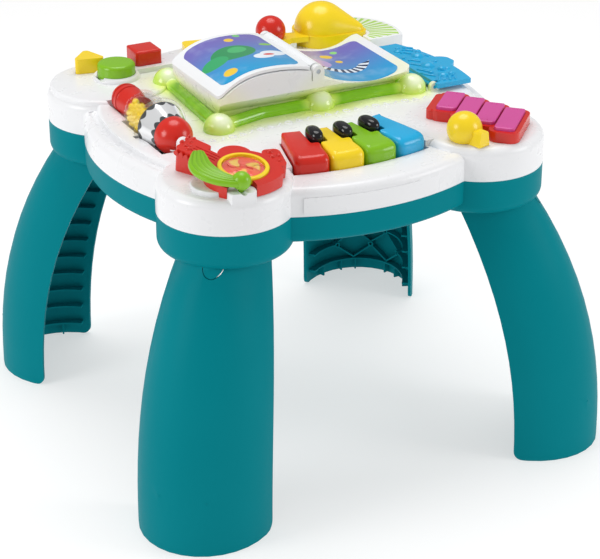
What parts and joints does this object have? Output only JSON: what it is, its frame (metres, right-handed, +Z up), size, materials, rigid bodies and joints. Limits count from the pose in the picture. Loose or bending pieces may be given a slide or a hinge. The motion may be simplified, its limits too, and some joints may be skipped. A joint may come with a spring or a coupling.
{
  "type": "musical activity table",
  "caption": "Low four-legged play table for babies: a lobed white tray with piano keys, turning book page, rattle roller, spinner, chimes, slider and press buttons",
  "frame": {"origin": "on the floor, under the middle of the table", "axes": "+Z up, the piano keys on the -Y side, the guitar and rattle on the -X side"},
  "size_m": [0.514, 0.514, 0.3914],
  "materials": {
    "white_plastic": "satin",
    "teal_plastic": "satin",
    "red_plastic": "gloss",
    "yellow_plastic": "gloss",
    "green_plastic": "gloss",
    "lime_plastic": "gloss",
    "blue_plastic": "gloss",
    "magenta_plastic": "gloss",
    "black_plastic": "gloss",
    "clear_plastic": "clear gloss",
    "mirror_foil": "mirror",
    "steel": "satin",
    "rubber": "matt",
    "board": "matt",
    "page_print": "printed gloss",
    "corner_print": "printed gloss"
  },
  "bodies": {
    "table": {"top_shell": "white_plastic", "base_tray": "teal_plastic", "leg_front_left": "teal_plastic", "leg_front_right": "teal_plastic", "leg_back_left": "teal_plastic", "leg_back_right": "teal_plastic", "book_base": "white_plastic", "light_tube": "lime_plastic", "bed_label_left": "page_print", "bed_label_right": "page_print", "page_pins": "steel", "guitar_body": "red_plastic", "spinner_ring": "yellow_plastic", "xylophone_base": "red_plastic", "horn_track": "yellow_plastic", "corner_pad": "white_plastic", "corner_label": "corner_print", "speaker": "black_plastic", "main_board": "board", "button_board": "board", "key_board": "board", "chime_board": "board", "switch_domes": "rubber", "batteries": "steel", "battery_contacts": "steel", "battery_door": "teal_plastic", "door_screw": "steel", "housing_screws": "steel"},
    "page": {"page_leaf": "white_plastic", "leaf_label_front": "page_print", "leaf_label_back": "page_print"},
    "circle_button": {"circle_button": "green_plastic"},
    "triangle_button": {"triangle_button": "yellow_plastic"},
    "square_button": {"square_button": "red_plastic"},
    "red_key": {"red_key": "red_plastic"},
    "yellow_key": {"yellow_key": "yellow_plastic"},
    "green_key": {"green_key": "green_plastic"},
    "blue_key": {"blue_key": "blue_plastic"},
    "black_key_left": {"black_key_left": "black_plastic"},
    "black_key_middle": {"black_key_middle": "black_plastic"},
    "black_key_right": {"black_key_right": "black_plastic"},
    "rattle": {"rattle_barrel": "clear_plastic", "rattle_back_cap": "red_plastic", "rattle_front_cap": "red_plastic", "rattle_ring": "clear_plastic", "rattle_mirror": "mirror_foil", "rattle_beads": "yellow_plastic", "rattle_axle": "steel"},
    "spinner_disc": {"spinner_disc": "red_plastic"},
    "strum_lever": {"strum_lever": "green_plastic"},
    "chime_bar_1": {"chime_bar_1": "magenta_plastic"},
    "chime_bar_2": {"chime_bar_2": "magenta_plastic"},
    "chime_bar_3": {"chime_bar_3": "magenta_plastic"},
    "chime_bar_4": {"chime_bar_4": "magenta_plastic"},
    "mallet_slider": {"mallet_slider": "yellow_plastic"},
    "horn_knob": {"horn_knob": "red_plastic"},
    "press_plate": {"press_plate": "blue_plastic"},
    "power_switch": {"power_switch": "black_plastic"}
  },
  "joints": [
    {"name": "circle_press", "type": "slide", "parent": "table", "child": "circle_button", "axis": [0, 0, -1], "range_m": [0, 0.003], "stiffness_N_per_m": 400, "springref_m": -0.002},
    {"name": "triangle_press", "type": "slide", "parent": "table", "child": "triangle_button", "axis": [0, 0, -1], "range_m": [0, 0.003], "stiffness_N_per_m": 400, "springref_m": -0.002},
    {"name": "square_press", "type": "slide", "parent": "table", "child": "square_button", "axis": [0, 0, -1], "range_m": [0, 0.003], "stiffness_N_per_m": 400, "springref_m": -0.002},
    {"name": "black_left_press", "type": "slide", "parent": "table", "child": "black_key_left", "axis": [0, 0, -1], "range_m": [0, 0.003], "stiffness_N_per_m": 400, "springref_m": -0.002},
    {"name": "black_middle_press", "type": "slide", "parent": "table", "child": "black_key_middle", "axis": [0, 0, -1], "range_m": [0, 0.003], "stiffness_N_per_m": 400, "springref_m": -0.002},
    {"name": "black_right_press", "type": "slide", "parent": "table", "child": "black_key_right", "axis": [0, 0, -1], "range_m": [0, 0.003], "stiffness_N_per_m": 400, "springref_m": -0.002},
    {"name": "chime_1_press", "type": "slide", "parent": "table", "child": "chime_bar_1", "axis": [0, 0, -1], "range_m": [0, 0.002], "stiffness_N_per_m": 400, "springref_m": -0.002},
    {"name": "chime_2_press", "type": "slide", "parent": "table", "child": "chime_bar_2", "axis": [0, 0, -1], "range_m": [0, 0.002], "stiffness_N_per_m": 400, "springref_m": -0.002},
    {"name": "chime_3_press", "type": "slide", "parent": "table", "child": "chime_bar_3", "axis": [0, 0, -1], "range_m": [0, 0.002], "stiffness_N_per_m": 400, "springref_m": -0.002},
    {"name": "chime_4_press", "type": "slide", "parent": "table", "child": "chime_bar_4", "axis": [0, 0, -1], "range_m": [0, 0.002], "stiffness_N_per_m": 400, "springref_m": -0.002},
    {"name": "red_key_press", "type": "hinge", "parent": "table", "child": "red_key", "pos_m": [-0.0459, -0.10491, 0.3285], "axis": [0.982, -0.1887, 0], "range_deg": [0, 3.5], "stiffness_Nm_per_rad": 0.8, "springref_deg": -2.86},
    {"name": "yellow_key_press", "type": "hinge", "parent": "table", "child": "yellow_key", "pos_m": [-0.01682, -0.10848, 0.3285], "axis": [0.9985, -0.0545, 0], "range_deg": [0, 3.5], "stiffness_Nm_per_rad": 0.8, "springref_deg": -2.86},
    {"name": "green_key_press", "type": "hinge", "parent": "table", "child": "green_key", "pos_m": [0.01248, -0.10809, 0.3285], "axis": [0.9967, 0.0806, 0], "range_deg": [0, 3.5], "stiffness_Nm_per_rad": 0.8, "springref_deg": -2.86},
    {"name": "blue_key_press", "type": "hinge", "parent": "table", "child": "blue_key", "pos_m": [0.04146, -0.10376, 0.3285], "axis": [0.9768, 0.2143, 0], "range_deg": [0, 3.5], "stiffness_Nm_per_rad": 0.8, "springref_deg": -2.86},
    {"name": "rattle_spin", "type": "hinge", "parent": "table", "child": "rattle", "pos_m": [-0.15, 0.01, 0.345], "axis": [0, 1, 0], "continuous": true},
    {"name": "spinner_spin", "type": "hinge", "parent": "table", "child": "spinner_disc", "pos_m": [-0.133, -0.166, 0.353], "axis": [0, -0.1564, 0.9877], "continuous": true},
    {"name": "strum_swing", "type": "hinge", "parent": "table", "child": "strum_lever", "pos_m": [-0.149, -0.19464, 0.34846], "axis": [0, -0.1564, 0.9877], "range_deg": [-4, 12], "stiffness_Nm_per_rad": 0.4},
    {"name": "mallet_slide", "type": "slide", "parent": "table", "child": "mallet_slider", "axis": [-0.342, 0.9397, 0], "range_m": [0, 0.016]},
    {"name": "horn_slide", "type": "slide", "parent": "table", "child": "horn_knob", "axis": [-0.9781, 0.2079, 0], "range_m": [0, 0.066]},
    {"name": "plate_press", "type": "hinge", "parent": "table", "child": "press_plate", "pos_m": [0.152, 0.025, 0.3412], "axis": [0, 1, 0], "range_deg": [0, 3], "stiffness_Nm_per_rad": 2, "springref_deg": -2.86},
    {"name": "page_turn", "type": "hinge", "parent": "table", "child": "page", "pos_m": [0.016, 0.027, 0.38], "axis": [0, 1, 0], "range_deg": [0, 189]},
    {"name": "power_slide", "type": "slide", "parent": "table", "child": "power_switch", "axis": [1, 0, 0], "range_m": [0, 0.006]}
  ]
}
